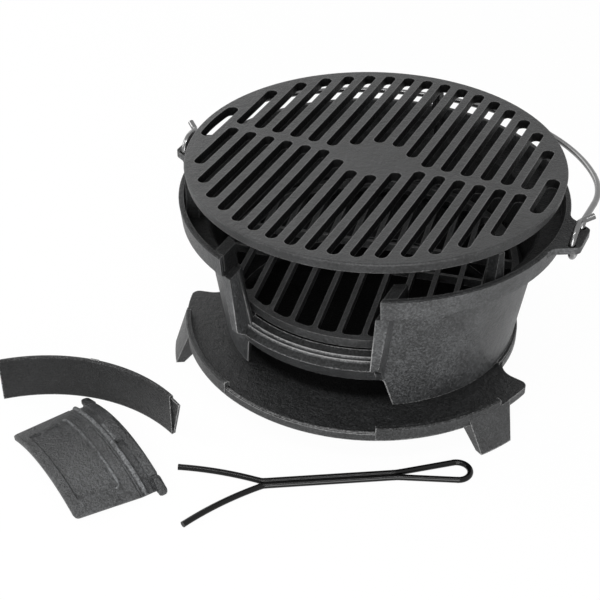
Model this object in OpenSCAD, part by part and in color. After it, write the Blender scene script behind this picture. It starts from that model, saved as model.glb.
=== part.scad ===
// Cast charcoal brazier with its loose door, coal guard, grates and lifting fork.
// Millimetres. Z is up, the floor is z = 0, the bowl's axis is x = y = 0.
// The ears point along X and the draft opening faces -Y.

/* [Cooking grate] */
// Outer radius of the cooking grate
grate_r = 166; // [150:0.5:180]
// Height of its top face above the floor
grate_top = 202.5; // [190:0.5:215]
// Plate thickness
grate_t = 9; // [5:0.5:14]
// Distance between slots
slot_pitch = 17.9; // [14:0.1:22]
// Slot width
slot_w = 10.5; // [6:0.1:13]
// Solid rim outside the slot ends
slot_rim = 9.2; // [4:0.1:12]
// Radius of the solid middle disc
hub_r = 28; // [15:0.5:45]
// Width of the solid band across the middle
band_w = 8; // [4:0.5:16]
// Half length of the outermost slots, between their end centres
outer_slot = 24.5; // [15:0.5:40]
// Depth of the dished middle
grate_dish = 1.6; // [0.2:0.1:3]

/* [Charcoal grate] */
// Outer radius
coal_r = 133; // [120:0.5:136]
// Height of its top face
coal_top = 103.5; // [95:0.5:110]
// Thickness
coal_t = 8; // [4:0.1:10]
// Distance between bars
bar_pitch = 21.3; // [12:0.1:30]
// Bar width
bar_w = 4.5; // [3:0.1:9]
// Turn of the bars against the cooking grate's slots
bar_turn = 10; // [0:1:90]
// Width of the outer ring
coal_ring = 6; // [4:0.5:12]
// Width of the two cross ribs
coal_rib_w = 3; // [2:0.1:8]
// Distance of the cross ribs from the middle
coal_rib_at = 18.5; // [8:0.5:60]

/* [Bowl] */
// Outer radius of the rim at its top
rim_r = 172; // [165:0.5:180]
// Height of the rim's top
rim_top = 171; // [160:0.5:185]
// Width of the rim's top face
rim_w = 4.5; // [3:0.1:9]
// Height of the rim band
rim_h = 18.5; // [12:0.5:26]
// Wall radius under the rim band
wall_r_top = 151; // [145:0.5:158]
// Wall thickness
wall_t = 5; // [3.5:0.1:8]
// Radius of the wall at its foot
foot_r = 134; // [128:0.5:138]

/* [Draft opening] */
// Half width of the opening at the rim
open_top_x = 70.7; // [60:0.5:85]
// Half width just under the rim band
open_mid_x = 65; // [55:0.5:80]
// Half width at the air gap's top
open_low_x = 54; // [50:0.5:75]
// Height of the notches that carry the door
notch_z = 148; // [140:0.5:156]
// Height of the sill's outer edge
sill_z = 83; // [76:0.5:92]
// Width of the frame beside the opening
jamb_w = 10; // [7:0.5:18]
// How far the frame stands out at its foot
jamb_r_low = 160; // [150:0.5:164]
// How far the frame stands out at the rim
jamb_r_top = 166; // [158:0.5:170]
// Half width of the air gap at the plate
gap_low_x = 70; // [50:0.5:80]
// Half width of the air gap at its top
gap_high_x = 64; // [45:0.5:75]
// Height of the air gap's top
gap_top = 67.5; // [60:0.5:74]

/* [Ears and lugs] */
// Reach of the ears from the axis
ear_x = 191; // [186:0.5:200]
// Half width of an ear at its tip
ear_tip_y = 18; // [12:0.5:26]
// Ear thickness
ear_t = 6; // [4:0.5:10]
// Radius of the bail holes
ear_hole_r = 3.9; // [3.5:0.05:6]
// Bottom width of a lug
lug_w = 12; // [7:0.5:18]
// Top width of a lug
lug_w_top = 5.6; // [3:0.1:12]

/* [Base plate] */
// Radius of the front part of the plate
plate_r = 171.6; // [165:0.5:185]
// Radius of the back part
plate_back_r = 138; // [136:0.5:160]
// Underside of the plate
plate_low = 26.8; // [20:0.5:40]
// Upper face of the plate
plate_high = 34; // [26:0.5:48]
// Half angle of the wide front part
plate_half = 77.5; // [60:0.5:90]
// Top of the raised rim
kerb_top = 40; // [36:0.5:48]
// Width of the raised rim
kerb_w = 5; // [3:0.5:9]
// Half angle where the raised rim starts beside the front
kerb_from = 24.5; // [10:0.5:40]
// Half angle where the raised rim ends
kerb_to = 64; // [50:0.5:76]
// Reach of a leg at the floor
leg_r = 184; // [175:0.5:200]
// Width of a leg at the floor
leg_w = 33; // [20:0.5:50]
// Width of a leg at the plate
leg_w_top = 46; // [30:0.5:60]
// Thickness of a leg's outer wall
leg_t = 7.5; // [5:0.5:12]

/* [Bail] */
// Wire diameter
wire_d = 5.4; // [4:0.1:8]
// Distance of the arms from the middle
bail_x = 183.2; // [180:0.1:187]
// Radius of the eye that turns in the ear
eye_r = 14.75; // [10:0.05:20]
// Downward tilt of the folded bail
bail_tilt = 4.6; // [0:0.1:6]
// Height of the arms over the hinge axis
arm_rise = 9; // [8.5:0.1:12]
// Reach of the bail behind the hinge axis
bail_reach = 208.5; // [180:0.5:230]
// Straight length of the arms
arm_len = 53; // [20:0.5:80]
// Bend radius beside the arms
side_bend = 115.5; // [60:0.5:180]

/* [Door] */
// Curve radius of the door's outer face
door_r = 149.5; // [145:0.5:170]
// Thickness of the door
door_t = 3.6; // [3:0.1:8]
// Height of the plain panel
door_h = 58; // [50:0.5:70]
// Height including the hinge strip
door_full_h = 79.5; // [70:0.5:90]
// Half width at the lower edge
door_low_x = 60.7; // [50:0.1:70]
// Half width at the bead
door_high_x = 66.5; // [55:0.1:75]
// Radius of the bead
bead_r = 2.9; // [2:0.1:6]
// Depth of the sunk panel
panel_d = 1.3; // [0.5:0.1:3]
// Place of the door on the floor, along X
door_at_x = -172.2; // [-200:0.1:-150]
// Place of the door on the floor, along Y
door_at_y = -293.2; // [-320:0.1:-270]
// Turn of the door on the floor
door_turn = -30.3; // [-60:0.1:0]

/* [Coal guard] */
// Radius of the inner face
guard_r = 144; // [135:0.5:155]
// Thickness
guard_t = 4; // [3:0.1:7]
// Height
guard_h = 43; // [30:0.5:60]
// Start angle of the arc
guard_from = 63.7; // [50:0.1:80]
// End angle of the arc
guard_to = 132.6; // [115:0.1:150]
// Centre of the arc, along X
guard_at_x = -167.7; // [-200:0.1:-140]
// Centre of the arc, along Y
guard_at_y = -324.9; // [-350:0.1:-300]
// Width of the end wing
wing_w = 13; // [6:0.5:20]

/* [Lifting fork] */
// Rod diameter
rod_d = 5.2; // [4:0.1:7]
// Length of the twin shaft
shaft_len = 108; // [80:1:150]
// Radius of the closed loop
loop_r = 10.75; // [7:0.25:16]
// Angle at which the rods part before the loop
loop_spread = 9; // [4:0.5:25]
// Length of the shorter prong
prong_len = 70; // [40:1:100]
// Place of the prongs' root, along X
fork_at_x = -1.3; // [-30:0.1:30]
// Place of the prongs' root, along Y
fork_at_y = -218.5; // [-240:0.1:-200]
// Turn of the shaft
fork_turn = 30.4; // [0:0.1:60]
// Bend radius of the prongs
prong_bend = 265; // [150:1:400]

/* [Fits] */
// Gap under each loose piece
seat_gap = 0.3; // [0.1:0.05:1]

/* [Hidden] */
$fn = 64;
CAST = [0.28, 0.28, 0.29];
ZINC = [0.75, 0.75, 0.74];
STEEL = [0.15, 0.16, 0.17];
OPEN_DIR = -90;
LEG_DIRS = [-30, 210, 90];
slot_cap_r = slot_w / 2;
slot_end = grate_r - slot_rim - slot_cap_r;
outer_rim = 5;
slot_lines = floor((grate_r - slot_cap_r - outer_rim) / slot_pitch + 0.5);
ledge_z = coal_top - coal_t - seat_gap;
shelf_z = rim_top - 20.5;
bail_z = rim_top - ear_t / 2;
foot_z = plate_high + seat_gap;
leg_dir_r = [plate_r, plate_r, plate_back_r];

// The sector is drawn wide enough to cover any radius used here.
module wedge(from, to, r) {
    steps = ceil((to - from) / 15);
    polygon(concat([[0, 0]], [for (i = [0:steps])
        let (a = from + (to - from) * i / steps)
        [1.05 * r * cos(a), 1.05 * r * sin(a)]]));
}

// ---------------------------------------------------------------- base plate
corner_r = 7;
fillet_r = 18;
plate_edge = OPEN_DIR + plate_half;

function arc_points(centre, r, from, to, steps) = [for (i = [0:steps])
    let (a = from + (to - from) * i / steps)
    centre + r * [cos(a), sin(a)]];

// Cut that rounds the outer corner of the wide front part.
module corner_cut2d() {
    reach = plate_r - corner_r;
    inset = asin(corner_r / reach);
    mid = plate_edge - inset;
    polygon(concat(
        arc_points(reach * [cos(mid), sin(mid)], corner_r, mid - 2, plate_edge + 92, 9),
        [(plate_r - 5) * [cos(plate_edge + 3), sin(plate_edge + 3)],
         (plate_r + 5) * [cos(plate_edge + 3), sin(plate_edge + 3)],
         (plate_r + 5) * [cos(mid - 2), sin(mid - 2)]]
    ));
}

// Hollow curve from the front part's end into the back part.
module fillet2d() {
    reach = plate_back_r + fillet_r;
    swing = asin(fillet_r / reach);
    mid = plate_edge + swing;
    polygon(concat(
        arc_points(reach * [cos(mid), sin(mid)], fillet_r, mid + 178, plate_edge + 272, 9),
        [reach * [cos(plate_edge - 1), sin(plate_edge - 1)],
         (plate_back_r - 4) * [cos(plate_edge - 1), sin(plate_edge - 1)],
         (plate_back_r - 4) * [cos(mid + 1), sin(mid + 1)]]
    ));
}

module both_sides() {
    children();
    mirror([1, 0, 0])
        children();
}

module plate2d() {
    difference() {
        union() {
            circle(r = plate_back_r, $fn = 128);
            intersection() {
                circle(r = plate_r, $fn = 128);
                wedge(OPEN_DIR - plate_half, OPEN_DIR + plate_half, plate_r);
            }
            both_sides()
                fillet2d();
        }
        both_sides()
            corner_cut2d();
    }
}

module leg_profile(r) {
    polygon([
        [r + 0.6, plate_high],
        [r + leg_r - plate_r, 0],
        [r + leg_r - plate_r - leg_t, 0],
        [r - 16, plate_low],
        [r - 16, plate_high - 1]
    ]);
}

leg_arc = 14;

// A splayed leg: the turned wedge profile cut to a trapezoid seen from the front.
module leg(r) {
    intersection() {
        rotate([0, 0, -leg_arc])
            rotate_extrude(angle = 2 * leg_arc, $fn = 128)
                leg_profile(r);
        translate([r - 40, 0, 0])
            rotate([90, 0, 90])
                linear_extrude(80)
                    polygon([
                        [-leg_w / 2, -1],
                        [leg_w / 2, -1],
                        [leg_w_top / 2, plate_high],
                        [-leg_w_top / 2, plate_high]
                    ]);
    }
}

module kerb(from, to) {
    rotate([0, 0, from])
        rotate_extrude(angle = to - from, $fn = 128)
            polygon([
                [plate_r - kerb_w, plate_low + 1],
                [plate_r + 0.5, plate_low + 1],
                [plate_r + 0.5, kerb_top - 1],
                [plate_r - 0.5, kerb_top],
                [plate_r - kerb_w + 1, kerb_top],
                [plate_r - kerb_w, kerb_top - 1]
            ]);
}

back_edge_w = 3;
back_edge_h = 2.5;
bead_w = 1.6;
bead_h = 0.8;

module base_plate() {
    color(CAST) {
        translate([0, 0, plate_low])
            linear_extrude(plate_high - plate_low)
                plate2d();
        kerb(OPEN_DIR + kerb_from, OPEN_DIR + kerb_to);
        kerb(OPEN_DIR - kerb_to, OPEN_DIR - kerb_from);
        // thin bead along the front edge
        rotate([0, 0, OPEN_DIR - kerb_from - 0.5])
            rotate_extrude(angle = 2 * kerb_from + 1, $fn = 128)
                translate([plate_r - 1 - bead_w, plate_high - 1])
                    square([bead_w, bead_h + 1]);
        // low edge round the back part
        rotate([0, 0, OPEN_DIR + plate_half + 3])
            rotate_extrude(angle = 360 - 2 * plate_half - 6, $fn = 128)
                translate([plate_back_r - back_edge_w - 0.4, plate_high - 1])
                    square([back_edge_w, back_edge_h + 1]);
        // stiffening ring under the plate
        difference() {
            translate([0, 0, plate_low - 3])
                cylinder(r = 112, h = 4, $fn = 96);
            translate([0, 0, plate_low - 4])
                cylinder(r = 107, h = 6, $fn = 96);
        }
        for (i = [0:2])
            rotate([0, 0, LEG_DIRS[i]])
                leg(leg_dir_r[i]);
    }
}

// ----------------------------------------------------------------- fire bowl
ledge_w = 5;
band_low = rim_top - rim_h;

function wall_r(z) = foot_r + (wall_r_top - foot_r) * (z - foot_z) / (band_low - 6 - foot_z);

module wall_profile() {
    rim_in = rim_r - rim_w;
    polygon([
        [rim_in, rim_top],
        [rim_r - 1, rim_top],
        [rim_r, rim_top - 1],
        [rim_r - 2, band_low],
        [164.5, band_low - 4],
        [wall_r_top, band_low - 6],
        [foot_r, foot_z],
        [foot_r - wall_t, foot_z],
        [wall_r(ledge_z - 15) - wall_t, ledge_z - 15],
        [coal_r - ledge_w, ledge_z - 5],
        [coal_r - ledge_w, ledge_z],
        [wall_r(ledge_z) - wall_t, ledge_z],
        [wall_r_top - wall_t, shelf_z - 3],
        [wall_r_top - wall_t + 3, shelf_z],
        [rim_in - 3, shelf_z + 2.5],
        [rim_in - 0.8, shelf_z + 6]
    ]);
}

// The opening seen from the front: stepped notches over a tapered throat.
module opening2d(side, floor_z) {
    polygon([
        [-open_low_x - side, floor_z],
        [open_low_x + side, floor_z],
        [open_mid_x + side, notch_z],
        [open_top_x + side, notch_z],
        [open_top_x + side, rim_top + 5],
        [-open_top_x - side, rim_top + 5],
        [-open_top_x - side, notch_z],
        [-open_mid_x - side, notch_z]
    ]);
}

module through_front() {
    translate([0, -100, 0])
        rotate([90, 0, 0])
            linear_extrude(90)
                children();
}

gap_round = 6;

// The air gap seen from the front: slanted sides with rounded upper corners.
module gap2d() {
    slant = atan2(gap_low_x - gap_high_x, gap_top - foot_z);
    centre = [gap_high_x - gap_round + 0.5, gap_top - gap_round];
    both_sides()
        polygon(concat(
            [[0, gap_top], [0, foot_z - 1], [gap_low_x, foot_z - 1]],
            arc_points(centre, gap_round, slant, 90, 5)
        ));
}

sill_r = 149;
sill_in = 135;
frame_foot = 8;

// Section of the frame that stands out beside the opening.
module frame_profile() {
    polygon([
        [wall_r_top - wall_t + 0.5, rim_top - 1],
        [jamb_r_top, rim_top - 1],
        [jamb_r_low + 0.8, sill_z + frame_foot + 2],
        [jamb_r_low - 1, sill_z + frame_foot],
        [sill_r, sill_z - 1],
        [sill_r - 8.5, gap_top],
        [sill_in + 0.2, gap_top],
        [sill_in + 2, ledge_z - 10],
        [sill_in + 3.5, ledge_z]
    ]);
}

module jambs() {
    difference() {
        intersection() {
            rotate_extrude($fn = 128)
                frame_profile();
            through_front()
                opening2d(jamb_w, gap_top);
        }
        through_front()
            opening2d(0, 0);
    }
}

ridge_w = 1.4;
ridge_h = 1.5;
ridge_step = 2.7;

function sill_face(r) = ledge_z - (ledge_z - sill_z) * (r - sill_in) / (sill_r - sill_in);

// A thin ridge on the sloping sill, in section.
function ridge(r) = [
    [r, sill_face(r)],
    [r + 0.3, sill_face(r) + ridge_h - 0.3],
    [r + ridge_w - 0.3, sill_face(r + ridge_w) + ridge_h],
    [r + ridge_w, sill_face(r + ridge_w)]
];

module sill() {
    ridge_r = sill_in + 5;
    intersection() {
        rotate_extrude($fn = 128)
            polygon(concat(
                [[sill_in - 0.8, ledge_z - 0.5], [sill_in, ledge_z]],
                ridge(ridge_r),
                ridge(ridge_r + ridge_step),
                [
                    [sill_r, sill_z],
                    [sill_r - 1.4, sill_z - 2.5],
                    [sill_r - 8.5, gap_top],
                    [sill_in - 0.8, gap_top]
                ]
            ));
        through_front()
            polygon([
                [-open_low_x - jamb_w + 0.5, gap_top - 8],
                [open_low_x + jamb_w - 0.5, gap_top - 8],
                [open_low_x + jamb_w - 3, ledge_z + 5],
                [-open_low_x - jamb_w + 3, ledge_z + 5]
            ]);
    }
}

ear_root = 12;
ear_corner = 5.5;
ear_slant = 28.3;

// Half of an ear's outline, from the tip to the hollow curve at its root.
function ear_half() =
    let (tip = [ear_x - ear_corner, ear_tip_y - ear_corner],
         across = [sin(ear_slant), cos(ear_slant)],
         along = [-cos(ear_slant), sin(ear_slant)],
         root = tip + (ear_corner + ear_root) * across + 15 * along)
    concat(
        arc_points(tip, ear_corner, 0, 90 - ear_slant, 4),
        arc_points(root, ear_root, 270 - ear_slant, 190, 5)
    );

// One ear seen from above: a flared tab with rounded corners.
module ear2d() {
    half = ear_half();
    count = len(half);
    polygon(concat(
        half,
        [[rim_r - 20, half[count - 1][1]], [rim_r - 20, -half[count - 1][1]]],
        [for (i = [0:count - 1]) [half[count - 1 - i][0], -half[count - 1 - i][1]]]
    ));
}

module ear() {
    difference() {
        translate([0, 0, rim_top - ear_t])
            linear_extrude(ear_t)
                ear2d();
        translate([0, 0, rim_top - ear_t - 1])
            cylinder(r = rim_r - 2, h = ear_t + 2, $fn = 128);
        for (s = [-1, 1])
            translate([bail_x, s * (eye_r - 0.15), rim_top - ear_t - 1])
                cylinder(r = ear_hole_r, h = ear_t + 2, $fn = 32);
    }
}

lug_top = grate_top - grate_t - seat_gap;

lug_from = 154.5;
lug_depth = 11;
fin_t = 2.6;

// A lug that carries the cooking grate, with a thin fin on its inner side.
module lug() {
    translate([lug_from, 0, 0])
        rotate([90, 0, 90])
            linear_extrude(lug_depth)
                polygon([
                    [-lug_w / 2, shelf_z - 1],
                    [lug_w / 2, shelf_z - 1],
                    [lug_w_top / 2, lug_top],
                    [-lug_w_top / 2, lug_top]
                ]);
    rotate([90, 0, 0])
        linear_extrude(fin_t, center = true)
            polygon([
                [lug_from - 7, shelf_z - 1],
                [lug_from + 1.5, shelf_z - 1],
                [lug_from + 1.5, lug_top - 6],
                [lug_from - 1.5, lug_top - 6],
                [lug_from - 5.5, shelf_z + 8]
            ]);
}

module fire_bowl() {
    color(CAST) {
        difference() {
            rotate_extrude($fn = 128)
                wall_profile();
            through_front()
                opening2d(0, gap_top);
            through_front()
                gap2d();
        }
        jambs();
        sill();
        ear();
        mirror([1, 0, 0])
            ear();
        for (a = LEG_DIRS)
            rotate([0, 0, a])
                lug();
    }
}

// ------------------------------------------------------------ charcoal grate
coal_in = coal_r - coal_ring;
bar_gap = bar_pitch - bar_w;
gap_corner = 0.24 * bar_gap;
bar_count = floor((coal_in - bar_w / 2 - 3 * gap_corner) / bar_pitch);

// Centre of a rounded corner that touches the ring and an upright line.
function corner_at(x) = [x, sqrt(pow(coal_in - gap_corner, 2) - x * x)];

// The gap between two bars, with all four corners rounded.
module bar_gap2d(x) {
    a = corner_at(x + gap_corner);
    b = corner_at(x + bar_gap - gap_corner);
    upper = concat(
        arc_points(a, gap_corner, 180, atan2(a[1], a[0]) + 4, 4),
        arc_points(b, gap_corner, atan2(b[1], b[0]) - 4, 0, 4)
    );
    lower = [for (i = [0:len(upper) - 1])
        let (q = upper[len(upper) - 1 - i])
        [q[0], -q[1]]];
    polygon(concat(upper, lower));
}

// The gap between the last bar and the ring.
module side_gap2d(x) {
    a = corner_at(x + gap_corner);
    turn = atan2(a[1], a[0]);
    polygon(concat(
        arc_points(a, gap_corner, 180, turn + 4, 4),
        arc_points([0, 0], coal_in, turn - 2, 2 - turn, 8),
        arc_points([a[0], -a[1]], gap_corner, -turn - 4, -180, 4)
    ));
}

module charcoal_grate() {
    color(CAST)
    translate([0, 0, coal_top - coal_t])
        rotate([0, 0, bar_turn])
            difference() {
                cylinder(r = coal_r, h = coal_t, $fn = 128);
                translate([0, 0, -1])
                    linear_extrude(coal_t + 2)
                        difference() {
                            both_sides() {
                                for (i = [0:bar_count - 1])
                                    bar_gap2d(i * bar_pitch + bar_w / 2);
                                side_gap2d(bar_count * bar_pitch + bar_w / 2);
                            }
                            for (side = [-1, 1])
                                translate([0, side * coal_rib_at])
                                    square([2 * coal_r, coal_rib_w], center = true);
                        }
            }
}

// ------------------------------------------------------------- cooking grate
module slot(x, y0, y1) {
    translate([x - slot_cap_r, y0])
        square([slot_w, y1 - y0]);
    translate([x, y0])
        circle(r = slot_cap_r, $fn = 24);
    translate([x, y1])
        circle(r = slot_cap_r, $fn = 24);
}

function slot_far(x) = sqrt(slot_end * slot_end - x * x);
function slot_near(x) = max(band_w / 2 + slot_cap_r,
    abs(x) < hub_r + slot_cap_r ? sqrt(pow(hub_r + slot_cap_r, 2) - x * x) : 0);

module slots2d() {
    for (i = [0:slot_lines - 1])
        let (x = (i + 0.5) * slot_pitch)
        for (sx = [-1, 1])
            if (i == slot_lines - 1)
                slot(sx * x, -outer_slot, outer_slot);
            else
                for (sy = [0, 1])
                    mirror([0, sy, 0])
                        slot(sx * x, slot_near(x), slot_far(x));
}

DISH_STEPS = [0, 0.45, 0.8, 1];
flat_rim = 10;

// A point of the dished face, from the middle (t = 0) to the flat rim (t = 1).
function dish(t, z) = [t * (grate_r - flat_rim), z - grate_dish * (1 - t * t)];

module cooking_grate() {
    color(CAST)
    difference() {
        rotate_extrude($fn = 128)
            polygon(concat(
                [for (t = DISH_STEPS) dish(t, grate_top - grate_t)],
                [
                    [grate_r - 1.3, grate_top - grate_t],
                    [grate_r, grate_top - 1.6],
                    [grate_r - 0.5, grate_top - 0.5],
                    [grate_r - 1.6, grate_top]
                ],
                [for (i = [0:3]) dish(DISH_STEPS[3 - i], grate_top)]
            ));
        translate([0, 0, grate_top - grate_t - grate_dish - 1])
            linear_extrude(grate_t + grate_dish + 2)
                slots2d();
    }
}

// -------------------------------------------------------------- bail handle
// Rod pieces: each starts at the origin, runs along +Y and bends towards -X.
module rod(d, len) {
    rotate([-90, 0, 0])
        cylinder(d = d, h = len, $fn = 24);
}

// A hair thicker sleeve that covers each joint between two rod pieces.
module sleeve(d) {
    rotate([90, 0, 0])
        cylinder(d = d + 0.12, h = 1.6, center = true, $fn = 24);
}

// Moves to the end of an elbow that bends towards -X.
module past(r, a) {
    translate([-r, 0, 0])
        rotate([0, 0, a])
            translate([r, 0, 0])
                children();
}

module elbow(d, r, a) {
    sleeve(d);
    translate([-r, 0, 0])
        rotate_extrude(angle = a, $fn = 96)
            translate([r, 0])
                circle(d = d, $fn = 24);
    past(r, a)
        sleeve(d);
}

arm_bend = 6;
top_bend_k = arm_len - bail_reach;
top_bend = (pow(side_bend, 2) - pow(bail_x - side_bend, 2) - pow(top_bend_k, 2))
    / (2 * (top_bend_k + side_bend));
side_angle = atan2(arm_len - bail_reach + top_bend, bail_x - side_bend);
free_end = 75;
tip_bend = 9;
tip_turn = 60;
tip_lift = 30;
tip_len = 7;
bend_z = bail_z + arm_rise - tan(bail_tilt) * (eye_r + arm_bend) - arm_bend / cos(bail_tilt);

// Half of the bow without its back, lying in its own plane with the arm along +Y.
module bow_side() {
    start = (eye_r + arm_bend + arm_bend * sin(bail_tilt)) / cos(bail_tilt);
    translate([bail_x, start, 0]) {
        sleeve(wire_d);
        rod(wire_d, arm_len - start);
    }
    translate([bail_x, arm_len, 0])
        elbow(wire_d, side_bend, side_angle);
}

module bow_back() {
    translate([0, bail_reach - top_bend, 0])
        rotate([0, 0, side_angle])
            rotate_extrude(angle = 180 - 2 * side_angle, $fn = 128)
                translate([top_bend, 0])
                    circle(d = wire_d, $fn = 24);
}

// The eye passes through both holes of the ear and ends in a splayed tip.
module eye() {
    translate([bail_x, 0, bail_z])
        rotate([0, 90, 0])
            rotate([0, 0, 90 + free_end])
                rotate_extrude(angle = 360 - free_end, $fn = 64)
                    translate([eye_r, 0])
                        circle(d = wire_d, $fn = 24);
    translate([bail_x, eye_r, bail_z])
        cylinder(d = wire_d, h = bend_z - bail_z, $fn = 24);
    translate([bail_x, eye_r, (bail_z + bend_z) / 2])
        rotate([90, 0, 0])
            sleeve(wire_d);
    translate([bail_x, eye_r + arm_bend, bend_z])
        rotate([0, 90, 0])
            rotate([0, 0, 180 - bail_tilt])
                rotate_extrude(angle = 90 + bail_tilt, $fn = 64)
                    translate([arm_bend, 0])
                        circle(d = wire_d, $fn = 24);
    translate([bail_x, eye_r * cos(free_end), bail_z + eye_r * sin(free_end)])
        rotate([free_end - 90, 0, 0])
            rotate([0, -tip_lift, 0])
            mirror([1, 0, 0]) {
                elbow(wire_d, tip_bend, tip_turn);
                past(tip_bend, tip_turn)
                    rod(wire_d, tip_len);
            }
}

module bail_handle() {
    color(ZINC)
    {
        both_sides() {
            translate([0, 0, bail_z + arm_rise])
                rotate([-bail_tilt, 0, 0])
                    bow_side();
            eye();
        }
        translate([0, 0, bail_z + arm_rise])
            rotate([-bail_tilt, 0, 0])
                bow_back();
    }
}

// ---------------------------------------------------------------------- door
door_in = door_r - door_t;
door_axis = -sqrt(door_in * door_in - door_high_x * door_high_x);
strip_r = door_r - 1.6;

// Turns a profile of radius and height into a shell that arches over the floor.
module arched() {
    translate([0, 0, door_axis])
        rotate([-90, 0, 0])
            rotate([0, 0, 240])
                rotate_extrude(angle = 60, $fn = 128)
                    children();
}

module door2d(inset) {
    polygon([
        [-door_low_x + inset, inset],
        [door_low_x - inset, inset],
        [door_high_x - inset, door_h + 1 - inset],
        [door_high_x - inset, door_full_h + 1],
        [-door_high_x + inset, door_full_h + 1],
        [-door_high_x + inset, door_h + 1 - inset]
    ]);
}

module upright(h) {
    translate([0, 0, -5])
        linear_extrude(h)
            children();
}

module door_shell() {
    intersection() {
        arched()
            union() {
                polygon([
                    [door_in, 0],
                    [door_r - 1, 0],
                    [door_r, 1],
                    [door_r, door_h - 1.5],
                    [door_r - 1.6, door_h],
                    [strip_r, door_full_h - 12],
                    [strip_r + 1.2, door_full_h - 11],
                    [strip_r + 1.2, door_full_h - 9.6],
                    [strip_r, door_full_h - 8.6],
                    [strip_r, door_full_h],
                    [door_in, door_full_h]
                ]);
                translate([door_r - 0.5, door_h + 4.6])
                    circle(r = bead_r, $fn = 24);
            }
        upright(40)
            door2d(0);
    }
}

module panel_cut() {
    intersection() {
        arched()
            translate([door_r - panel_d, 8])
                square([8, 40]);
        upright(40)
            polygon([
                [-46, 9.5],
                [46, 9.5],
                [50, 45],
                [-50, 45]
            ]);
    }
}

tab_len = 9.5;
tab_w = 9.5;

module door() {
    color(CAST)
    translate([door_at_x, door_at_y, 0])
        rotate([0, 0, door_turn]) {
            difference() {
                door_shell();
                panel_cut();
                translate([2, door_full_h - 7, door_r + door_axis - 4])
                    cube([5, 4.5, 6]);
            }
            both_sides()
                translate([door_high_x - 5.5, door_full_h - tab_w - 0.7, 0.4])
                    cube([tab_len + 5.5, tab_w, 4.4]);
        }
}

// ---------------------------------------------------------------- coal guard
module coal_guard() {
    wing_a = wing_w / (guard_r + guard_t) * 180 / PI;
    color(CAST)
    translate([guard_at_x, guard_at_y, 0]) {
        rotate([0, 0, guard_from])
            rotate_extrude(angle = guard_to - guard_from, $fn = 128)
                polygon([
                    [guard_r, 0],
                    [guard_r + guard_t, 0],
                    [guard_r + guard_t, guard_h - 1],
                    [guard_r + guard_t - 1, guard_h],
                    [guard_r + 1, guard_h],
                    [guard_r, guard_h - 1]
                ]);
        // small bump in the middle of the top edge
        rotate([0, 0, (guard_from + guard_to) / 2 - 1.6])
            rotate_extrude(angle = 3.2, $fn = 128)
                translate([guard_r + 1.4, guard_h - 1.5])
                    square([guard_t - 2.8, 2.7]);
        // set back wing that narrows to nothing at the foot
        difference() {
            rotate([0, 0, guard_from - wing_a])
                rotate_extrude(angle = wing_a + 1, $fn = 128)
                    translate([guard_r + guard_t - 2.4, 0.4])
                        square([2, guard_h - 3.4]);
            rotate([0, 0, guard_from])
                translate([guard_r - 10, 0, 0])
                    rotate([90, 0, 90])
                        linear_extrude(30)
                            polygon([
                                [0, -1],
                                [-wing_w - 5, -1],
                                [-wing_w - 5, guard_h + 15],
                                [0, 0]
                            ]);
        }
    }
}

// -------------------------------------------------------------- lifting fork
twin_gap = 0.2;
rod_off = (rod_d + twin_gap) / 2;
neck_bend = 40;
loop_side = (loop_r * cos(loop_spread) - rod_off - neck_bend * (1 - cos(loop_spread))) / sin(loop_spread);
loop_y = shaft_len + neck_bend * sin(loop_spread) + loop_side * cos(loop_spread)
    + loop_r * sin(loop_spread);
root_bend = 12;
prong_turns = [26.3, 22.1];
prong_more = 5;

// A prong: a short bend away from the shaft, then a wide even curve.
module prong(turn, side, len) {
    sweep = len / prong_bend * 180 / PI;
    rotate([0, 0, 180]) {
        mirror([side, 0, 0])
            elbow(rod_d, root_bend, turn);
        mirror([side, 0, 0])
            past(root_bend, turn)
                mirror([side, 0, 0])
                    elbow(rod_d, prong_bend, sweep);
    }
}

module lifting_fork() {
    color(STEEL)
    translate([fork_at_x, fork_at_y, rod_d / 2])
        rotate([0, 0, fork_turn - 90]) {
            both_sides()
                translate([rod_off, 0, 0]) {
                    rod(rod_d, shaft_len);
                    translate([0, shaft_len, 0])
                        mirror([1, 0, 0]) {
                            elbow(rod_d, neck_bend, loop_spread);
                            past(neck_bend, loop_spread)
                                union() {
                                    rod(rod_d, loop_side);
                                    translate([0, loop_side, 0])
                                        sleeve(rod_d);
                                }
                        }
                }
            translate([0, loop_y, 0])
                rotate([0, 0, -loop_spread])
                    rotate_extrude(angle = 180 + 2 * loop_spread, $fn = 64)
                        translate([loop_r, 0])
                            circle(d = rod_d, $fn = 24);
            translate([-rod_off, 0, 0])
                prong(prong_turns[0], 1, prong_len);
            translate([rod_off, 0, 0])
                prong(prong_turns[1], 0, prong_len + prong_more);
        }
}

base_plate();
fire_bowl();
charcoal_grate();
cooking_grate();
bail_handle();
door();
coal_guard();
lifting_fork();
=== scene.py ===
"""Looks for the cast charcoal brazier: finishes, rounded edges, the door's relief, floor, light, camera."""

import math

import bmesh
import bpy
from mathutils import Matrix, Vector


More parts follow.
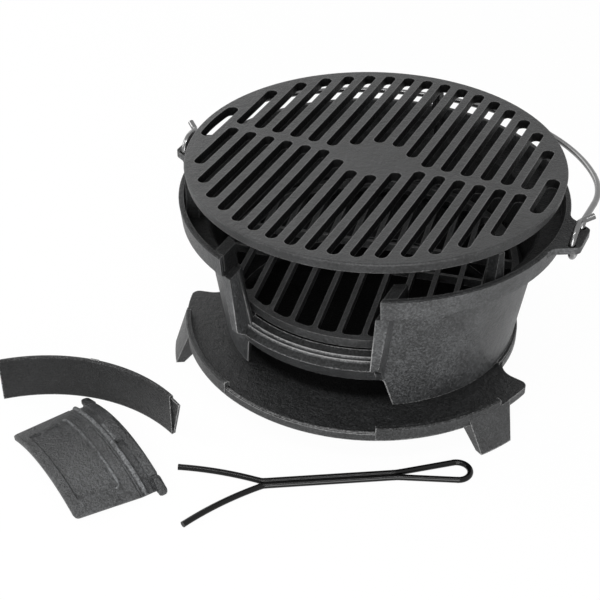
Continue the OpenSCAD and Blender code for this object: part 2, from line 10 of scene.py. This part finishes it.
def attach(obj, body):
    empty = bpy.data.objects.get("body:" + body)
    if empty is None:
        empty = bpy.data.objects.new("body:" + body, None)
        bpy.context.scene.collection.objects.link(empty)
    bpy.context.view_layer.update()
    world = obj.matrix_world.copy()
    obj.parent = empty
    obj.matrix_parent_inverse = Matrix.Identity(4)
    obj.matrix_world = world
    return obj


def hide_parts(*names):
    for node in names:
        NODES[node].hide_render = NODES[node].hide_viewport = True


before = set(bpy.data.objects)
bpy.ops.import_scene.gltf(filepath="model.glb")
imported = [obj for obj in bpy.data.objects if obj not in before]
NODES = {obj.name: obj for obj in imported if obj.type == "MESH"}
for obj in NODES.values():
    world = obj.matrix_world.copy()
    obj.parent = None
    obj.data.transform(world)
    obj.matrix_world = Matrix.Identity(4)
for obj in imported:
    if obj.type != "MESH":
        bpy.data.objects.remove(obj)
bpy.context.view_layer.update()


# ------------------------------------------------------------- shader helpers
def new_material(name):
    """A material with one plain shader, and the texture coordinates of its object."""
    material = bpy.data.materials.new(name)
    material.use_nodes = True
    tree = material.node_tree
    tree.nodes.clear()
    output = tree.nodes.new("ShaderNodeOutputMaterial")
    shader = tree.nodes.new("ShaderNodeBsdfPrincipled")
    tree.links.new(shader.outputs["BSDF"], output.inputs["Surface"])
    coords = tree.nodes.new("ShaderNodeTexCoord")
    return material, tree, shader, coords


def noise(tree, coords, scale, detail, rough):
    """Noise on Object coordinates; scale counts its cells in a metre."""
    node = tree.nodes.new("ShaderNodeTexNoise")
    node.inputs["Scale"].default_value = scale
    node.inputs["Detail"].default_value = detail
    node.inputs["Roughness"].default_value = rough
    tree.links.new(coords.outputs["Object"], node.inputs["Vector"])
    return node.outputs["Fac"]


def grey(level, blue=0.0):
    """A grey that leans to blue by a share of its level."""
    return (level * (1 - blue), level, level * (1 + blue))


def ramp(tree, value, stops):
    """A colour for each value; a stop is a value and its colour."""
    node = tree.nodes.new("ShaderNodeValToRGB")
    marks = node.color_ramp.elements
    marks.remove(marks[0])
    marks[0].position = stops[0][0]
    marks[0].color = (*stops[0][1], 1)
    for position, color in stops[1:]:
        marks.new(position).color = (*color, 1)
    tree.links.new(value, node.inputs["Fac"])
    return node.outputs["Color"]


def math_node(tree, operation, *values):
    """One sum of sockets and plain numbers."""
    node = tree.nodes.new("ShaderNodeMath")
    node.operation = operation
    for socket, value in zip(node.inputs, values):
        if isinstance(value, (int, float)):
            socket.default_value = value
        else:
            tree.links.new(value, socket)
    return node.outputs["Value"]


def flip(tree, value):
    """1 less the value."""
    return math_node(tree, "SUBTRACT", 1.0, value)


def step(tree, value, low, high):
    """0 below low, 1 above high, soft in between."""
    node = tree.nodes.new("ShaderNodeMapRange")
    node.interpolation_type = "SMOOTHSTEP"
    node.inputs["From Min"].default_value = low
    node.inputs["From Max"].default_value = high
    tree.links.new(value, node.inputs["Value"])
    return node.outputs["Result"]


def paint_over(tree, color, level, cover):
    """The colour with a plain grey over it where cover is 1."""
    node = tree.nodes.new("ShaderNodeMix")
    node.data_type = "RGBA"
    tree.links.new(cover, node.inputs["Factor"])
    tree.links.new(color, node.inputs["A"])
    node.inputs["B"].default_value = (*grey(level), 1)
    return node.outputs["Result"]


def bump(tree, shader, height, strength, depth):
    """Lets the surface look embossed by height, depth metres deep."""
    node = tree.nodes.new("ShaderNodeBump")
    node.inputs["Strength"].default_value = strength
    node.inputs["Distance"].default_value = depth
    tree.links.new(height, node.inputs["Height"])
    tree.links.new(node.outputs["Normal"], shader.inputs["Normal"])


def axes(tree, vector):
    """X, Y and Z of a vector."""
    parts = tree.nodes.new("ShaderNodeSeparateXYZ")
    tree.links.new(vector, parts.inputs["Vector"])
    return parts.outputs["X"], parts.outputs["Y"], parts.outputs["Z"]


def radius_height(tree, coords):
    """Distance from the brazier's axis, and height over the floor."""
    x, y, z = axes(tree, coords.outputs["Object"])
    squares = [math_node(tree, "MULTIPLY", side, side) for side in (x, y)]
    return math_node(tree, "SQRT", math_node(tree, "ADD", *squares)), z


def level_faces(tree, coords):
    """1 on level faces, 0 on upright ones."""
    _, _, up = axes(tree, coords.outputs["Normal"])
    return step(tree, math_node(tree, "ABSOLUTE", up), *LEVEL_FADE)


# ------------------------------------------------------ where shade and edge highlights are painted
# Pairs in metres between which a mask fades, as radius from the brazier's axis or as height.
SLOT_ENDS = (0.160, 0.163)
UNDER_BOWL = (0.118, 0.132)
INNER_WALL = (0.1255, 0.1275)
INNER_RIM = (0.1665, 0.1678)
RIM_HEIGHT = (0.147, 0.150)
WALL_TAPER = 0.152

# How much painted shade level faces take beside the places above, between which tilts they count as level,
# and the grey of the painted shade.
PLATE_TOP_SHADE, BOWL_TOP_SHADE = 0.5, 0.85
LEVEL_FADE = (0.3, 0.7)
PAINTED_SHADE_GREY = 0.003

# Painted highlights along outward edges: how far under the surface open air counts, in metres, by how
# many rays it is looked for, how much the speckle breaks the line, where the line fades, and how it weakens
# on high parts.
EDGE_LIGHT_REACH = 0.0013
EDGE_LIGHT_RAYS = 6
EDGE_LIGHT_SPECKLE = 0.9
EDGE_LIGHT_FADE = (0.62, 0.95)
CALM_FADE, CALM_LESS = 0.01, 0.75


def shade_in_slots(tree, coords):
    """Painted shade on the sides of the cooking grate's slots, inside its plain rim."""
    radius, _ = radius_height(tree, coords)
    inside = flip(tree, step(tree, radius, *SLOT_ENDS))
    return math_node(tree, "MULTIPLY", inside, flip(tree, level_faces(tree, coords)))


def shade_under_bowl(tree, coords):
    """Painted shade on the plate under the bowl, and weaker on all its level faces."""
    radius, _ = radius_height(tree, coords)
    middle = flip(tree, step(tree, radius, *UNDER_BOWL))
    level = math_node(tree, "MULTIPLY", level_faces(tree, coords), PLATE_TOP_SHADE)
    return math_node(tree, "MAXIMUM", middle, level)


def shade_inside_bowl(tree, coords):
    """Painted shade on the bowl's inner tapered wall and inner rim, and weaker on all its level faces."""
    radius, z = radius_height(tree, coords)
    upright = math_node(tree, "MULTIPLY_ADD", z, -WALL_TAPER, radius)
    wall = flip(tree, step(tree, upright, *INNER_WALL))
    rim = flip(tree, step(tree, radius, *INNER_RIM))
    high = math_node(tree, "MULTIPLY", rim, step(tree, z, *RIM_HEIGHT))
    inner = math_node(tree, "MAXIMUM", wall, high)
    level = math_node(tree, "MULTIPLY", level_faces(tree, coords), BOWL_TOP_SHADE)
    return math_node(tree, "MAXIMUM", inner, level)


def edge_highlight_mask(tree, coords, spots, calm):
    """1 along outward edges, in broken lines, and less above the height calm, for painted edge highlights.
    It looks for open air just under the surface, which only an outward edge has."""
    air = tree.nodes.new("ShaderNodeAmbientOcclusion")
    air.inside = True
    air.only_local = True
    air.samples = EDGE_LIGHT_RAYS
    air.inputs["Distance"].default_value = EDGE_LIGHT_REACH
    near = flip(tree, air.outputs["AO"])
    broken = math_node(tree, "MULTIPLY_ADD", spots, EDGE_LIGHT_SPECKLE, near)
    _, z = radius_height(tree, coords)
    high = step(tree, z, calm - CALM_FADE, calm)
    less = math_node(tree, "MULTIPLY_ADD", high, -CALM_LESS, 1.0)
    return math_node(tree, "MULTIPLY", step(tree, broken, *EDGE_LIGHT_FADE), less)


# ------------------------------------------------------------------- finishes
# A pair is a place on the noise with what it does there: a share of the finish's grey, or roughness
# added to it. Depths are in metres.
SPECKLES = ((0.4, 0.4), (0.5, 1.0), (0.61, 2.1))
WIRE_PATCHES = ((0.3, 0.88), (0.7, 1.08))
GLOSS_SPREAD = ((0.35, -0.1), (0.65, 0.12))
IRON_BLUE = 0.03
PATCH_SHARE, SAND_SHARE = 0.3, 0.8
GRAIN_DEPTH, WIRE_DEPTH = 0.0014, 0.0003


def iron_tone(tree, coords, spots, level):
    """Speckles of the fine grain over wide, weak patches, a little blue."""
    patches = noise(tree, coords, scale=30, detail=5, rough=0.6)
    wide = math_node(tree, "MULTIPLY", patches, PATCH_SHARE)
    mixed = math_node(tree, "MULTIPLY_ADD", spots, 1 - PATCH_SHARE, wide)
    return ramp(tree, mixed, [(at, grey(level * share, IRON_BLUE)) for at, share in SPECKLES])


def sand_grain(tree, coords, shader, depth):
    """The grain of a sand casting on a wider swell."""
    sand = noise(tree, coords, scale=520, detail=4, rough=0.7)
    swell = noise(tree, coords, scale=170, detail=3, rough=0.55)
    height = math_node(tree, "MULTIPLY_ADD", sand, SAND_SHARE, swell)
    bump(tree, shader, height, strength=1.0, depth=depth)


def cast_iron(name, level, rough=0.45, grain=1.0, shade_mask=None, dim=0.6, shine=0.5, edge_light=0.0, calm=1.0):
    """Oiled sand casting, nearly black and satin. A mask function, when given, says where shade is painted,
    and dim how much it hides; a given edge grey paints highlights along outward edges, weaker above the
    height calm."""
    material, tree, shader, coords = new_material(name)
    spots = noise(tree, coords, scale=520, detail=3, rough=0.65)
    color = iron_tone(tree, coords, spots, level)
    # Painted shade: a near-black grey over the masked faces, with less shine there.
    if shade_mask:
        cover = shade_mask(tree, coords)
        color = paint_over(tree, color, PAINTED_SHADE_GREY, math_node(tree, "MULTIPLY", cover, dim))
        dulled = math_node(tree, "MULTIPLY_ADD", cover, -shine * dim, shine)
        tree.links.new(dulled, shader.inputs["Specular IOR Level"])
    else:
        shader.inputs["Specular IOR Level"].default_value = shine
    # Painted highlights: a lighter grey along outward edges.
    if edge_light:
        color = paint_over(tree, color, edge_light, edge_highlight_mask(tree, coords, spots, calm))
    tree.links.new(color, shader.inputs["Base Color"])
    gloss = ramp(tree, spots, [(at, grey(rough + more)) for at, more in GLOSS_SPREAD])
    tree.links.new(gloss, shader.inputs["Roughness"])
    sand_grain(tree, coords, shader, GRAIN_DEPTH * grain)
    return material


def drawn_wire(name, level, metallic, rough, grain, shine=0.5):
    """Smooth wire or rod, of bare or of blackened metal."""
    material, tree, shader, coords = new_material(name)
    patches = noise(tree, coords, scale=60, detail=4, rough=0.6)
    tone = ramp(tree, patches, [(at, grey(level * share)) for at, share in WIRE_PATCHES])
    tree.links.new(tone, shader.inputs["Base Color"])
    shader.inputs["Metallic"].default_value = metallic
    shader.inputs["Specular IOR Level"].default_value = shine
    shader.inputs["Roughness"].default_value = rough
    fine = noise(tree, coords, scale=700, detail=3, rough=0.6)
    bump(tree, shader, fine, strength=grain, depth=WIRE_DEPTH)
    return material


# Finishes below may paint shade over masked faces and highlights along outward edges.
LOOKS = {
    "base_plate": cast_iron("cast_base", 0.02, rough=0.42, shade_mask=shade_under_bowl, dim=0.9, shine=0.45,
                            edge_light=0.26),
    "fire_bowl": cast_iron("cast_bowl", 0.038, shade_mask=shade_inside_bowl, dim=0.75, edge_light=0.25, calm=0.13),
    "charcoal_grate": cast_iron("cast_coal_grate", 0.016, edge_light=0.1),
    "cooking_grate": cast_iron("cast_cooking_grate", 0.014, grain=0.6, shade_mask=shade_in_slots, dim=0.8,
                               shine=0.44, edge_light=0.12),
    "door": cast_iron("cast_door", 0.038, rough=0.42, grain=1.4),
    "coal_guard": cast_iron("cast_guard", 0.01, rough=0.4, grain=1.4, shine=0.28, edge_light=0.3),
    "bail_handle": drawn_wire("zinc_wire", 0.17, metallic=1.0, rough=0.24, grain=0.2),
    "lifting_fork": drawn_wire("black_rod", 0.003, metallic=0.0, rough=0.1, grain=0.03, shine=0.22),
}
# A lighter grey, painted as a highlight on the door's proud crests.
CREST_HIGHLIGHT = cast_iron("door_crest_highlight", 0.09, rough=0.36, grain=1.4)

for name, material in LOOKS.items():
    NODES[name].data.materials.clear()
    NODES[name].data.materials.append(material)


# --------------------------------------------------------------- merged castings
# Each casting that gets a merged copy: its body, and the widest round on its edges in metres.
SOFTENED = {
    "cooking_grate": ("cook_grate", 0.0008),
    "fire_bowl": ("bowl", 0.0008),
    "base_plate": ("base", 0.0008),
    "charcoal_grate": ("coal_grate", 0.0007),
    "coal_guard": ("loose_guard", 0.0007),
}
SAME_POINT = 1e-6
SAME_PLANE = math.radians(0.03)
EDGE_ANGLE = math.radians(28)
CREASE_ANGLE = math.radians(40)

# The outermost slot on each side of the cooking grate, across it in metres: its middle, its outer
# side and where the rim keeps its shape; then how far along the side bows out, and by how much.
SLOT_MIDDLE, SLOT_SIDE, SLOT_RIM = 0.15215, 0.15740, 0.1635
SLOT_REACH, SLOT_BOW = 0.0300, 0.0024
SIDE_PLAY, SIDE_LENGTH, SIDE_CUTS = 2e-4, 0.004, 7


def is_outer_side(edge):
    """Whether an edge runs along the straight outer side of an outermost slot."""
    first, last = (vert.co for vert in edge.verts)
    straight = all(abs(abs(co.x) - SLOT_SIDE) < SIDE_PLAY and abs(co.y) < SLOT_REACH
                   for co in (first, last))
    return straight and abs(first.y - last.y) > SIDE_LENGTH


def bow_outer_slots(bm):
    """Bows the outer side of the two outermost slots towards the rim."""
    sides = [edge for edge in bm.edges if is_outer_side(edge)]
    bmesh.ops.subdivide_edges(bm, edges=sides, cuts=SIDE_CUTS)
    for vert in bm.verts:
        across, along = abs(vert.co.x), abs(vert.co.y) / SLOT_REACH
        if across < SLOT_MIDDLE or along > 1:
            continue
        if across < SLOT_SIDE:
            share = (across - SLOT_MIDDLE) / (SLOT_SIDE - SLOT_MIDDLE)
        else:
            share = max(0.0, (SLOT_RIM - across) / (SLOT_RIM - SLOT_SIDE))
        vert.co.x += math.copysign(SLOT_BOW * share * (1 - along ** 2), vert.co.x)


def soften(node, body, width):
    """Puts a merged copy of a casting in its node's place, shaded smooth over rounds on its sharp
    edges. Its shortest edges hold the rounds far below width, under a tenth of a millimetre."""
    mesh = NODES[node].data.copy()
    bm = bmesh.new()
    bm.from_mesh(mesh)
    bmesh.ops.remove_doubles(bm, verts=bm.verts, dist=SAME_POINT)
    bmesh.ops.dissolve_limit(bm, angle_limit=SAME_PLANE, verts=bm.verts, edges=bm.edges,
                             use_dissolve_boundaries=False)
    if node == "cooking_grate":
        bow_outer_slots(bm)
    edges = [edge for edge in bm.edges
             if len(edge.link_faces) == 2 and edge.calc_face_angle(0) > EDGE_ANGLE]
    bmesh.ops.bevel(bm, geom=edges, offset=width, offset_type="OFFSET", segments=2,
                    profile=0.5, affect="EDGES", clamp_overlap=True, material=-1)
    mesh.materials.clear()
    mesh.materials.append(LOOKS[node])
    bm.to_mesh(mesh)
    bm.free()
    mesh.set_sharp_from_angle(angle=CREASE_ANGLE)
    ob = bpy.data.objects.new(node + "_soft", mesh)
    bpy.context.collection.objects.link(ob)
    weighted = ob.modifiers.new("normals", "WEIGHTED_NORMAL")
    weighted.keep_sharp = True
    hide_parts(node)
    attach(ob, body)


for node, (body, width) in SOFTENED.items():
    soften(node, body, width)


# ----------------------------------------------------------------------- door
# Millimetres in the door's own frame: u across it, v up it, heights over its plain curve. It lies on
# its back on the floor, arched over an axis that runs along v. A pair is where a step starts and ends.
DOOR_R, DOOR_IN, DOOR_H = 149.5, 145.9, 79.5
DOOR_HALF, DOOR_HALF_LOW, DOOR_WIDE_AT = 66.5, 60.7, 59
DOOR_CORNER = 4
DOOR_AXIS = -math.sqrt(DOOR_IN ** 2 - DOOR_HALF ** 2)
DOOR_COLS, DOOR_ROWS = 150, 110
DOOR_CREASE = math.radians(50)
DOOR_TURN = math.radians(-30.3)
DOOR_PLACE = (-0.1722, -0.2932, 0)

# The sunk panel: its middle, lower and upper side, its half width below and how that grows up the
# door, the round of its upper corners and the half width at which it is struck, and its depth.
PANEL_MIDDLE, PANEL_LOW, PANEL_HIGH = 1.5, 9, 45
PANEL_HALF, PANEL_FLARE = 45.5, 0.12
PANEL_CORNER, PANEL_CORNER_HALF = 6, 51
PANEL_DEPTH, PANEL_STEP = 1.9, (-0.2, 0.8)

# The lip above it, and the sunk band with its two beads, each with its middle, half width and top.
LIP_OUT, LIP_HALF, LIP_TALL, LIP_FADE = 0.9, math.sqrt(1.4), 1.0, (38, 45)
BAND_DEPTH, BAND_STEP = 1.9, (56.4, 57.6)
BEADS = ((58.4, 1.2, -0.2), (62.2, 2.6, 1.5))

# The rail along the top, its dip and thick part in the middle, and the nick beside its end.
RAIL_LOW, RAIL_TALL, RAIL_END = 70.4, 2.2, (53.6, 54.6)
RAIL_UNDER, RAIL_OVER = 0.4, 0.5
DIP_DEEP, DIP_STEP, DIP_END = 6, (-20.8, -14.5), 9
THICK_TALL, THICK_U, THICK_V = 1.2, ((-21, -15), (7.6, 8.6)), ((64, 65.2), (75.5, 77))
NICK_DEEP, NICK_U, NICK_V = 2.0, ((54.4, 55), (66, 67)), ((69.8, 70.3), (71.6, 72.2))

# The drop at the door's outline, and how proud and steep a crest is that gets the painted highlight.
EDGE_DROP, EDGE_STEP = 1.1, (-0.4, 1.7)
CREST_TALL, CREST_DROP, CREST_RUN = 0.45, 0.12, 2.2

# A tab: its outline on the right side, its underside, how far it stands over the arch, its least
# height and the round of its edges.
TAB_OUTLINE = [(55.4, 72.6), (66.6, 72.6), (68.6, 71.4), (71.6, 71.6), (72.8, 73.4), (72.6, 77.2),
               (70.9, 79.2), (58, 79.9), (55.6, 78.6)]
TAB_FOOT, TAB_OVER, TAB_LEAST, TAB_ROUND = 0.6, 0.8, 4.7, 0.8


def soft_step(x, low, high):
    """0 below low, 1 above high, soft in between."""
    t = min(1.0, max(0.0, (x - low) / (high - low)))
    return t * t * (3 - 2 * t)


def between(x, rise, fall):
    """1 between two soft steps."""
    return soft_step(x, *rise) * (1 - soft_step(x, *fall))


def half_width(v):
    """Half the door's width: it widens upwards, and its lower corners are round."""
    rounded = DOOR_CORNER - math.sqrt(DOOR_CORNER ** 2 - max(0, DOOR_CORNER - v) ** 2)
    return DOOR_HALF_LOW + (DOOR_HALF - DOOR_HALF_LOW) * min(1.0, v / DOOR_WIDE_AT) - rounded


def panel_inset(u, v):
    """How far a point lies inside the sunk panel's outline, below 0 outside it."""
    off = abs(u - PANEL_MIDDLE)
    side = PANEL_HALF + PANEL_FLARE * (v - PANEL_LOW) - off
    corner = math.hypot(max(0, PANEL_CORNER - (PANEL_HIGH - v)),
                        max(0, PANEL_CORNER - (PANEL_CORNER_HALF - off)))
    inset = min(v - PANEL_LOW, PANEL_HIGH - v, side)
    return min(inset, PANEL_CORNER - corner) if corner > PANEL_CORNER else inset


def panel(u, v):
    """The sunk panel, with a round lip above it."""
    inset = panel_inset(u, v)
    lip = max(0.0, 1 - ((inset + LIP_OUT) / LIP_HALF) ** 2)
    raised = LIP_TALL * math.sqrt(lip) * soft_step(v, *LIP_FADE)
    return raised - PANEL_DEPTH * soft_step(inset, *PANEL_STEP)


def beads(v, height):
    """The two beads that rise from the sunk band."""
    for middle, half, tall in BEADS:
        round_top = 1 - ((v - middle) / half) ** 2
        if round_top > 0:
            height = max(height, (tall + BAND_DEPTH) * math.sqrt(round_top) - BAND_DEPTH)
    return height


def rail(u, v):
    """The rail along the top, which reaches lower and is thicker in its middle."""
    low = RAIL_LOW
    if u < DIP_END:
        low -= DIP_DEEP * soft_step(u, *DIP_STEP)
    plain = soft_step(v, low - RAIL_UNDER, low + RAIL_OVER) * (1 - soft_step(u, *RAIL_END))
    return RAIL_TALL * plain + THICK_TALL * between(u, *THICK_U) * between(v, *THICK_V)


def relief(u, v):
    """Height of the door's face over its plain curve."""
    height = beads(v, panel(u, v) - BAND_DEPTH * soft_step(v, *BAND_STEP))
    height += rail(u, v)
    height -= NICK_DEEP * between(u, *NICK_U) * between(v, *NICK_V)
    edge = min(v, DOOR_H - v, half_width(v) - abs(u))
    return height - EDGE_DROP * (1 - soft_step(edge, *EDGE_STEP))


def is_crest(u, v):
    """Whether the face gets the painted highlight here: it stands proud, and drops away just below."""
    height = relief(u, v)
    return height > CREST_TALL and height - relief(u, v - CREST_RUN) > CREST_DROP


def on_arch(u, v, radius):
    """The point of the door u across and v up it, at a radius from the arch's axis."""
    angle = math.asin(u / DOOR_R)
    return (radius * math.sin(angle), v, radius * math.cos(angle) + DOOR_AXIS)


def flat_place(co):
    """u and v of a point of the flat slab, which runs from -1 to 1 both ways."""
    v = DOOR_H * (co.y + 1) / 2
    return half_width(v) * co.x, v


def door_leaf(bm):
    """A flat slab, bent over the arch, with the relief on its upper face."""
    bmesh.ops.create_grid(bm, x_segments=DOOR_COLS, y_segments=DOOR_ROWS, size=1)
    slab = bmesh.ops.extrude_face_region(bm, geom=bm.faces[:])
    upper = [item for item in slab["geom"] if isinstance(item, bmesh.types.BMFace)]
    for face in upper:
        # Proud crests take the second material, a painted highlight.
        face.material_index = int(is_crest(*flat_place(face.calc_center_median())))
    raised = {vert for face in upper for vert in face.verts}
    for vert in bm.verts:
        u, v = flat_place(vert.co)
        radius = DOOR_R + relief(u, v) if vert in raised else DOOR_IN
        vert.co = on_arch(u, v, radius)


def tab_top(u):
    """The tab follows the arch a little over it, and is nowhere thinner than its end."""
    return max(on_arch(u, 0, DOOR_R)[2] + TAB_OVER, TAB_LEAST)


def door_tab(bm, side):
    """One of the two tabs that hang the door: its outline raised to the arch, with round edges."""
    lid = [bm.verts.new((side * u, v, tab_top(u))) for u, v in TAB_OUTLINE]
    foot = [bm.verts.new((side * u, v, TAB_FOOT)) for u, v in TAB_OUTLINE]
    walls = zip(lid, foot, foot[1:] + foot[:1], lid[1:] + lid[:1])
    faces = [bm.faces.new(corners) for corners in (lid, foot[::-1], *walls)]
    rim = {edge for face in faces for edge in face.edges}
    bmesh.ops.bevel(bm, geom=list(rim), offset=TAB_ROUND, segments=2, profile=0.5,
                    affect="EDGES", clamp_overlap=True, material=-1)


def door_mesh():
    """The door with its two tabs, in metres where it lies."""
    bm = bmesh.new()
    door_leaf(bm)
    for side in (1, -1):
        door_tab(bm, side)
    bmesh.ops.recalc_face_normals(bm, faces=bm.faces)
    turn = Matrix.Rotation(DOOR_TURN, 4, "Z")
    bm.transform(Matrix.Translation(DOOR_PLACE) @ turn @ Matrix.Scale(0.001, 4))
    mesh = bpy.data.meshes.new("door_detail")
    bm.to_mesh(mesh)
    bm.free()
    mesh.shade_smooth()
    mesh.set_sharp_from_angle(angle=DOOR_CREASE)
    return mesh


door = bpy.data.objects.new("door_detail", door_mesh())
bpy.context.collection.objects.link(door)
door.data.materials.append(LOOKS["door"])
door.data.materials.append(CREST_HIGHLIGHT)
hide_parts("door")
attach(door, "loose_door")


# ---------------------------------------------------------------------- stage
FLOOR_HALF, FLOOR_LEVEL = 12, -0.0003
FLOOR_PAINT, FLOOR_GLOW = 0.95, 0.97
SKY_LIGHT = 0.42
MIDDLE = (0, 0, 0.1)


def seen_directly(tree):
    """1 for camera, glossy and transmission rays, else 0."""
    path = tree.nodes.new("ShaderNodeLightPath")
    seen = math_node(tree, "MAXIMUM", path.outputs["Is Camera Ray"], path.outputs["Is Glossy Ray"])
    return math_node(tree, "MAXIMUM", seen, path.outputs["Is Transmission Ray"])


def floor_white():
    """White paint that takes the shadow, nearly all covered by white glow for the eye."""
    material, tree, shader, _ = new_material("floor_white")
    shader.inputs["Base Color"].default_value = (*grey(FLOOR_PAINT), 1)
    shader.inputs["Roughness"].default_value = 0.9
    shader.inputs["Specular IOR Level"].default_value = 0.0
    glow = tree.nodes.new("ShaderNodeEmission")
    glow.inputs["Strength"].default_value = 1.0
    blend = tree.nodes.new("ShaderNodeMixShader")
    share = math_node(tree, "MULTIPLY", seen_directly(tree), FLOOR_GLOW)
    tree.links.new(share, blend.inputs["Fac"])
    tree.links.new(shader.outputs["BSDF"], blend.inputs[1])
    tree.links.new(glow.outputs["Emission"], blend.inputs[2])
    output = next(node for node in tree.nodes if node.type == "OUTPUT_MATERIAL")
    tree.links.new(blend.outputs["Shader"], output.inputs["Surface"])
    return material


def pale_floor():
    """A wide floor just under the loose pieces."""
    mesh = bpy.data.meshes.new("floor")
    bm = bmesh.new()
    bmesh.ops.create_grid(bm, x_segments=1, y_segments=1, size=FLOOR_HALF)
    bm.to_mesh(mesh)
    bm.free()
    mesh.materials.append(floor_white())
    ob = bpy.data.objects.new("floor", mesh)
    ob.location.z = FLOOR_LEVEL
    bpy.context.collection.objects.link(ob)
    return ob


def studio_world():
    """Soft light from all round, and plain white where it is seen directly."""
    world = bpy.data.worlds.new("studio")
    world.use_nodes = True
    tree = world.node_tree
    tree.nodes.clear()
    output = tree.nodes.new("ShaderNodeOutputWorld")
    light = tree.nodes.new("ShaderNodeBackground")
    light.inputs["Color"].default_value = (1, 1, 1, 1)
    strength = tree.nodes.new("ShaderNodeMapRange")
    strength.inputs["To Min"].default_value = SKY_LIGHT
    strength.inputs["To Max"].default_value = 1.0
    tree.links.new(seen_directly(tree), strength.inputs["Value"])
    tree.links.new(strength.outputs["Result"], light.inputs["Strength"])
    tree.links.new(light.outputs["Background"], output.inputs["Surface"])
    return world


def softbox(name, place, target, watts, width, height=None):
    """A rectangular lamp that faces its target; it is square where height isn't given."""
    light = bpy.data.lights.new(name, "AREA")
    light.energy = watts
    light.shape = "RECTANGLE"
    light.size = width
    light.size_y = height or width
    ob = bpy.data.objects.new(name, light)
    ob.location = place
    ob.rotation_euler = (Vector(target) - Vector(place)).to_track_quat("-Z", "Y").to_euler()
    bpy.context.collection.objects.link(ob)


def photo_camera():
    """The camera at the photograph's place, angle and framing."""
    lens = bpy.data.cameras.new("camera")
    lens.sensor_width = 36
    lens.lens = 80.2
    lens.shift_x = -0.0010
    lens.shift_y = 0.0006
    ob = bpy.data.objects.new("camera", lens)
    ob.location = (0.3727, -0.9440, 0.7821)
    ob.rotation_euler = (math.radians(54.09), 0, math.radians(25.2))
    bpy.context.collection.objects.link(ob)
    return ob


pale_floor()
bpy.context.scene.world = studio_world()
softbox("key", (-1.4, -0.4, 0.7), MIDDLE, watts=9, width=0.7)
softbox("strip", (0.1, -0.75, 1.4), (-0.1, -0.33, 0), watts=8, width=1.2, height=0.12)
softbox("front", (0.75, -1.7, 0.55), MIDDLE, watts=25, width=1.0)
softbox("sheen", (-1.2, 1.0, 0.75), MIDDLE, watts=3.8, width=0.8)
bpy.context.scene.camera = photo_camera()
bpy.context.scene.view_settings.view_transform = "Standard"
